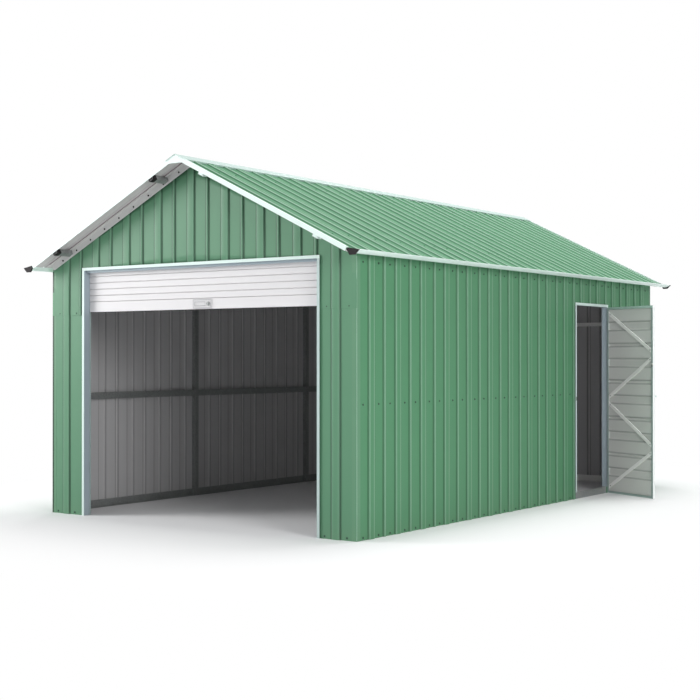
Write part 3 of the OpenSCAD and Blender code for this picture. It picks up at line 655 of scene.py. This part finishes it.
def roundedBlock(name, low, high, radius, finish, body="shed", carry=None):
    # each point is a corner of the block shrunk by the radius, plus the radius along a
    # direction, and the directions go round in four quarters with the corners between them
    low, high = np.array(low, float), np.array(high, float)
    quarter = np.linspace(0, math.pi / 2, 4)
    turn = (np.arange(4)[:, None] * math.pi / 2 + quarter).ravel()
    lift = np.concatenate([quarter - math.pi / 2, quarter])[:, None]
    cornerX, cornerY = np.repeat([1, -1, -1, 1], 4), np.repeat([1, 1, -1, -1], 4)
    cornerZ = np.repeat([-1, 1], 4)[:, None]
    half = (high - low) / 2 - radius
    points = np.stack([np.cos(lift) * np.cos(turn) * radius + cornerX * half[0],
                       np.cos(lift) * np.sin(turn) * radius + cornerY * half[1],
                       np.sin(lift) * radius + cornerZ * half[2] + 0 * turn], -1)
    points = (points + (low + high) / 2).reshape(-1, 3)
    caps = np.array([[12, 8, 4, 0], [112, 116, 120, 124]])   # the first and last row's corners
    faces = np.concatenate([gridFaces(8, 16, closeColumns=True), caps])
    return addPiece(name, carry(points) if carry else points, faces, finish, body)


def frontBead(name, x, z, y, fillet, radius):
    # a thin raised line round a rectangle on the lock's front, with rounded corners
    corners = np.array([(x[0], y, z[0]), (x[1], y, z[0]), (x[1], y, z[1]), (x[0], y, z[1])])
    outward = np.array([0.0, -1.0, 0.0])
    turn = np.linspace(0, math.pi / 2, 5)
    after, before = np.roll(corners, -1, 0) - corners, np.roll(corners, 1, 0) - corners
    after /= np.linalg.norm(after, axis=1)[:, None]
    before /= np.linalg.norm(before, axis=1)[:, None]
    middle = corners + (after + before) * fillet
    path = (middle[:, None] - np.cos(turn)[:, None] * after[:, None] * fillet
            - np.sin(turn)[:, None] * before[:, None] * fillet).reshape(-1, 3)
    way = np.roll(path, -1, 0) - np.roll(path, 1, 0)
    way /= np.linalg.norm(way, axis=1)[:, None]
    aside = np.cross(way, outward)
    spin = np.linspace(0, math.pi, 5)
    points = (path[:, None] + np.cos(spin)[:, None] * aside[:, None] * radius
              + np.sin(spin)[:, None] * outward * radius)
    points = np.concatenate([points, points[:1]]).reshape(-1, 3)
    addPiece(name, points, gridFaces(len(path) + 1, 5), "outline", "shed")


def underRoof(side):
    # from distances down the slope, along the shed and below the roof sheet to places
    def carry(points):
        down, y, below = np.asarray(points, float).T
        x = down * math.cos(slope) - below * math.sin(slope)
        z = ridgeZ - down * math.sin(slope) - below * math.cos(slope)
        return np.stack([side * x, y, z], 1)
    return carry


roofCorners = [(name, side, end, way) for name, side in sides.items()
               for end, way in ends.items()]


def roofStrip(name, side, way, down, along, below, radius, finish):
    # a block given by its reach down the slope, along the shed from the middle towards one
    # end, and below the roof sheet
    y = sorted(way * place for place in along)
    roundedBlock(name, (down[0], y[0], below[0]), (down[1], y[1], below[1]), radius, finish,
                 carry=underRoof(side))


trimFold = {"short": 0.010, "top": 0.02, "below": (0.0408, 0.058), "out": 0.0003,
            "deep": 0.0034, "deepMore": 0.0004, "radius": 0.0012,
            "seamTop": 0.003, "seamBelow": (0.0004, 0.0044), "seamAlong": (-0.0005, 0.0035)}


def gableTrimFolds():
    # the wider lower fold of the trims under both ends of the roof, and the seam where their
    # upper edge meets the roof sheet
    look, edge = trimFold, -sheetBox["gable_trims"][0].y
    face, run = panY + rib["height"] + look["out"], (panX - look["short"]) / math.cos(slope)
    for name, side, end, way in roofCorners:
        deep = look["deep"] + look["deepMore"] * side
        roofStrip(f"{end}_trim_fold_{name}", side, way, (look["top"], run), (face, face + deep),
                  look["below"], look["radius"], "greyWhite")
        roofStrip(f"{end}_trim_seam_{name}", side, way, (look["seamTop"], run),
                  [edge + reach for reach in look["seamAlong"]], look["seamBelow"],
                  look["radius"], "seam")


closureLook = {"top": 0.060, "foot": 0.040, "along": (-0.0285, -0.0240),
               "below": (-0.0128, -0.0012), "radius": 0.0012}


def fasciaClosures():
    # strips that close the pans under the inner edge of the fascias' top flanges
    look, endY = closureLook, sheetBox["roof_right"][1].y
    run = (panX + look["foot"]) / math.cos(slope)
    for name, side, end, way in roofCorners:
        roofStrip(f"{end}_closure_{name}", side, way, (look["top"], run),
                  [endY + reach for reach in look["along"]], look["below"], look["radius"],
                  "fascia")


purlinEndSizes = {"x": (0.285, 1.420), "half": 0.0258, "below": (0.001, 0.0410), "long": 0.052,
             "radius": 0.002}


def purlinEndShadeAndCaps():
    # pieces in the purlins' open ends: dark blocks on the left as a painted shadow under the
    # fascias, pale caps under the right fascias
    look, endY = purlinEndSizes, sheetBox["purlins_right"][1].y
    for name, side in sides.items():
        for x in look["x"]:
            middle = x / math.cos(slope)
            for end, way in ends.items():
                # black on the left is painted shadow in the open ends, mint on the right a pale
                # cap
                roofStrip(f"purlin_cap_{name}_{end}_{round(x * 1000)}", side, way,
                          (middle - look["half"], middle + look["half"]),
                          (endY, endY - look["long"]), look["below"], look["radius"],
                          "black" if side < 0 else "mint")


foldedCorner = {"deep": 0.005, "leftWide": 0.020, "proud": 0.0004, "foot": 0.002,
                "underTop": 0.001, "radius": 0.0022}


def cornerEdges():
    # the folded edge of each corner flashing: a pale strip on the right as a painted highlight,
    # a dark strip on the left as painted shade
    look, (low, high) = foldedCorner, sheetBox["corner_flashings"]
    for name, x, y in (("front_right", high.x, low.y), ("front_left", low.x, low.y),
                       ("rear_right", high.x, high.y), ("rear_left", low.x, high.y)):
        outward, place = np.array([np.sign(x), np.sign(y)]), np.array([x, y])
        inner = place - outward * [look["deep"] if x > 0 else look["leftWide"], look["deep"]]
        outer = place + outward * look["proud"]
        roundedBlock(name + "_corner_edge", [*np.minimum(outer, inner), look["foot"]],
                     [*np.maximum(outer, inner), high.z - look["underTop"]], look["radius"],
                     "cornerEdge" if x > 0 else "cornerShade")


lockLook = {"proud": 0.0002, "edgeIn": 0.002, "edgeFillet": 0.006, "edgeRadius": 0.0022,
            "grip": (0.016, 0.132), "gripHalf": 0.016, "gripFillet": 0.008,
            "gripRadius": 0.002, "keyIn": 0.032, "keyOut": 0.0032}
keyRings = [(0.0165, -0.004), (0.0165, 0.0005), (0.0150, 0.0022), (0.0085, 0.0024),
            (0.0080, 0.0060), (0.0068, 0.0070), (0.0001, 0.0070)]
sealLook = {"inX": 0.004, "inY": 0.003, "low": 0.007, "high": 0.001, "radius": 0.003}
headShadowLook = {"inX": 0.001, "y": (0.030, 0.036), "z": (-0.020, 0.002), "radius": 0.002}


def shutterParts():
    # plate edge, grip recess and round key plate of the lock, a blue-grey strip under the head
    # as a painted shadow on the shutter's top, and the rubber seal under its bottom bar
    look, (low, high) = lockLook, sheetBox["shutter_lock"]
    face, middle, inset = low.y - look["proud"], (low.z + high.z) / 2, look["edgeIn"]
    frontBead("lock_edge", (low.x + inset, high.x - inset), (low.z + inset, high.z - inset),
              face, look["edgeFillet"], look["edgeRadius"])
    frontBead("grip_edge", [low.x + reach for reach in look["grip"]],
              (middle - look["gripHalf"], middle + look["gripHalf"]), face,
              look["gripFillet"], look["gripRadius"])
    heads("key_plate", [(high.x - look["keyIn"], low.y - look["keyOut"], middle)], [0, -1, 0],
          keyRings, "zinc", turns=24)
    look, (low, high) = sealLook, sheetBox["shutter_bottom_bar"]
    roundedBlock("shutter_seal", (low.x + look["inX"], low.y + look["inY"], low.z - look["low"]),
                 (high.x - look["inX"], high.y - look["inY"], low.z + look["high"]),
                 look["radius"], "rubber")
    # blue-grey strip under the head: painted shadow on the shutter's top
    look, head = headShadowLook, sheetBox["front_head"][0]
    left, right = sheetBox["front_jamb_left"][1].x, sheetBox["front_jamb_right"][0].x
    roundedBlock("head_shadow_strip", (left + look["inX"], head.y + look["y"][0], head.z + look["z"][0]),
                 (right - look["inX"], head.y + look["y"][1], head.z + look["z"][1]),
                 look["radius"], "sideSurround")


def leafParts():
    # pieces on the leaf, drawn shut: top rail, and lock slot with its tab; each is given by
    # its reach from the inner face, its reach across, its heights and its corners' radius
    low, high = leafBox("door_frame")
    inner, free, hung, top = low[0], low[1], high[1], high[2]
    for name, deep, across, z, radius, finish in (
            ("leaf_top_rail", (-0.0016, 0.004), (free + 0.004, hung - 0.026),
             (top - 0.023, top - 0.002), 0.0014, "topRail"),
            ("leaf_slot", (-0.0008, 0.003), (free + 0.006, free + 0.017),
             (1.286, 1.322), 0.0007, "rubber"),
            ("leaf_tab", (-0.0035, 0.002), (free - 0.0015, free + 0.020),
             (1.309, 1.318), 0.0008, "brace")):
        roundedBlock(name, (inner + deep[0], across[0], z[0]),
                     (inner + deep[1], across[1], z[1]), radius, finish,
                     "side_door", leafOpen)


braceLook = {"shares": np.array([0.985, 0.745, 0.5, 0.255, 0.015]), "halfWide": 0.021,
             "rivets": (0.06, 0.94), "proud": 0.0001}


def braceRivets():
    # one near each end of each brace, on its inner face; the braces go from the hinged edge
    # to the free edge and back, and shares are the heights where they meet
    look, (frameLow, frameHigh) = braceLook, leafBox("door_frame")
    low, high = leafBox("door_braces")
    z = frameLow[2] + look["shares"] * (frameHigh[2] - frameLow[2])
    places = []
    for index in range(4):
        fromY, toY = (low[1], high[1]) if index % 2 else (high[1], low[1])
        first = np.array([fromY, z[index] - look["halfWide"]])
        last = np.array([toY, z[index + 1] + look["halfWide"]])
        for share in look["rivets"]:
            places.append((low[0] - look["proud"], *((1 - share) * first + share * last)))
    heads("brace_rivets", leafOpen(places), openTurn @ (-1, 0, 0), rivetRings, "zinc",
          "side_door")


keeperLook = {"x": (-0.004, 0.0022), "y": (0.010, 0.023), "z": (0.957, 0.995), "radius": 0.0015}


def keeper():
    # on the near jamb of the side doorway
    look, face, edge = keeperLook, sheetBox["side_head"][1].x, sheetBox["side_jambs"][0].y
    low, high = ((face + x, edge + y, z) for x, y, z in zip(look["x"], look["y"], look["z"]))
    roundedBlock("keeper", low, high, look["radius"], "screw")


gableTrimFolds()
fasciaClosures()
purlinEndShadeAndCaps()
cornerEdges()
shutterParts()
leafParts()
braceRivets()
keeper()
print("small parts made")


# Camera, floor, sky and lamps

cameraLook = {"place": (7.3713, -10.9446, 1.3731), "turn": 35.298, "tilt": 0.334,
              "focal": 68.71, "sensor": 36.0, "far": 200.0}
camera = bpy.data.objects.new("camera", bpy.data.cameras.new("camera"))
camera.data.sensor_width, camera.data.lens = cameraLook["sensor"], cameraLook["focal"]
camera.data.clip_end = cameraLook["far"]
camera.location = cameraLook["place"]
camera.rotation_euler = (math.radians(90 + cameraLook["tilt"]), 0,
                         math.radians(cameraLook["turn"]))
bpy.context.scene.collection.objects.link(camera)
bpy.context.scene.camera = camera

stageLook = {"radius": 60.0, "edges": 96, "floor": (0.9, 0.9, 0.9, 1), "fadeFrom": 0.15,
             "fadeTo": 2.5, "fadePower": 0.7, "sky": 0.48, "skyTop": tint(246, 249, 252),
             "skyLow": tint(206, 208, 210), "glossyWhite": 0.6}


def floorFinish(start):
    # pale floor that takes the shadow near the shed and fades to plain white with distance
    # from its walls
    place = start.add("TexCoord", output=3)
    x, y = [start.add("SeparateXYZ", inputs={0: place}, output=axis) for axis in (0, 1)]
    pastX = start.calc("MAXIMUM", start.calc("ABSOLUTE", x) - panX, 0.0)
    pastY = start.calc("MAXIMUM", start.calc("ABSOLUTE", y) - panY, 0.0)
    away = (pastX ** 2.0 + pastY ** 2.0) ** 0.5
    seen = start.add("LightPath", output=0)
    matt = start.add("BsdfDiffuse", inputs={"Color": stageLook["floor"]})
    white = start.add("Emission", inputs={"Color": (1, 1, 1, 1), "Strength": 1.0})
    far = ramped(away, stageLook["fadeFrom"], stageLook["fadeTo"]) ** stageLook["fadePower"]
    return start.add("MixShader", inputs={0: far * seen, 1: matt, 2: white})


turn = np.linspace(0, 2 * math.pi, stageLook["edges"] + 1)[:-1]
ring = np.stack([np.cos(turn), np.sin(turn), 0 * turn], 1) * stageLook["radius"]
floorMesh = bpy.data.meshes.new("floor")
floorMesh.from_pydata(ring.tolist(), [], [list(range(stageLook["edges"]))])
floorMesh.materials.append(newMaterial("floorFinish", floorFinish))
floor = bpy.data.objects.new("floor", floorMesh)
bpy.context.scene.collection.objects.link(floor)

world = bpy.data.worlds.new("sky")
bpy.context.scene.world = world
world.use_nodes = True
world.node_tree.nodes.clear()
sky = Flow(world.node_tree)
lift = sky.add("SeparateXYZ", inputs={0: sky.add("TexCoord", output=0)}, output=2)
skyColour = blendColour(sky, ramped(lift, -0.1, 0.8), stageLook["skyLow"], stageLook["skyTop"])
plain = sky.add("Background", inputs={"Color": skyColour, "Strength": stageLook["sky"]})
white = sky.add("Background", inputs={"Color": (1, 1, 1, 1), "Strength": 1.0})
seenSky, glossySky, throughSky = (sky.add("LightPath", output=kind) for kind in (0, 3, 6))
whiteSeen = sky.calc("MAXIMUM", seenSky,
                     sky.calc("MAXIMUM", glossySky * stageLook["glossyWhite"], throughSky))
sky.add("OutputWorld", inputs={"Surface": sky.add("MixShader", inputs={
    0: whiteSeen, 1: plain, 2: white})})

lampLook = {
    "front": {"place": (-9.0, -8.6, 4.8), "aim": (0, -2.4, 1.2), "size": 6.0, "power": 860.0},
    "side": {"place": (8.2, -5.6, 3.8), "aim": (1.2, -0.5, 1.0), "size": 3.5, "power": 300.0},
    "rear": {"place": (-8.5, 10.5, 5.5), "aim": (-1.0, 2.0, 1.0), "size": 5.0, "power": 600.0},
    "top": {"place": (1.4, 3.0, 12.6), "aim": (0.5, 0.6, 0.0), "size": 8.0, "power": 1100.0},
}
for name, look in lampLook.items():
    lamp = bpy.data.lights.new(name, "AREA")
    lamp.shape, lamp.size, lamp.energy = "DISK", look["size"], look["power"]
    lampObject = bpy.data.objects.new(name, lamp)
    lampObject.location = look["place"]
    reach = np.array(look["aim"]) - np.array(look["place"])
    flatReach = math.hypot(reach[0], reach[1])
    lampObject.rotation_euler = (math.atan2(flatReach, -reach[2]), 0,
                                 math.atan2(-reach[0], reach[1]))
    bpy.context.scene.collection.objects.link(lampObject)
bpy.context.scene.view_settings.view_transform = "Standard"
print("stage set")
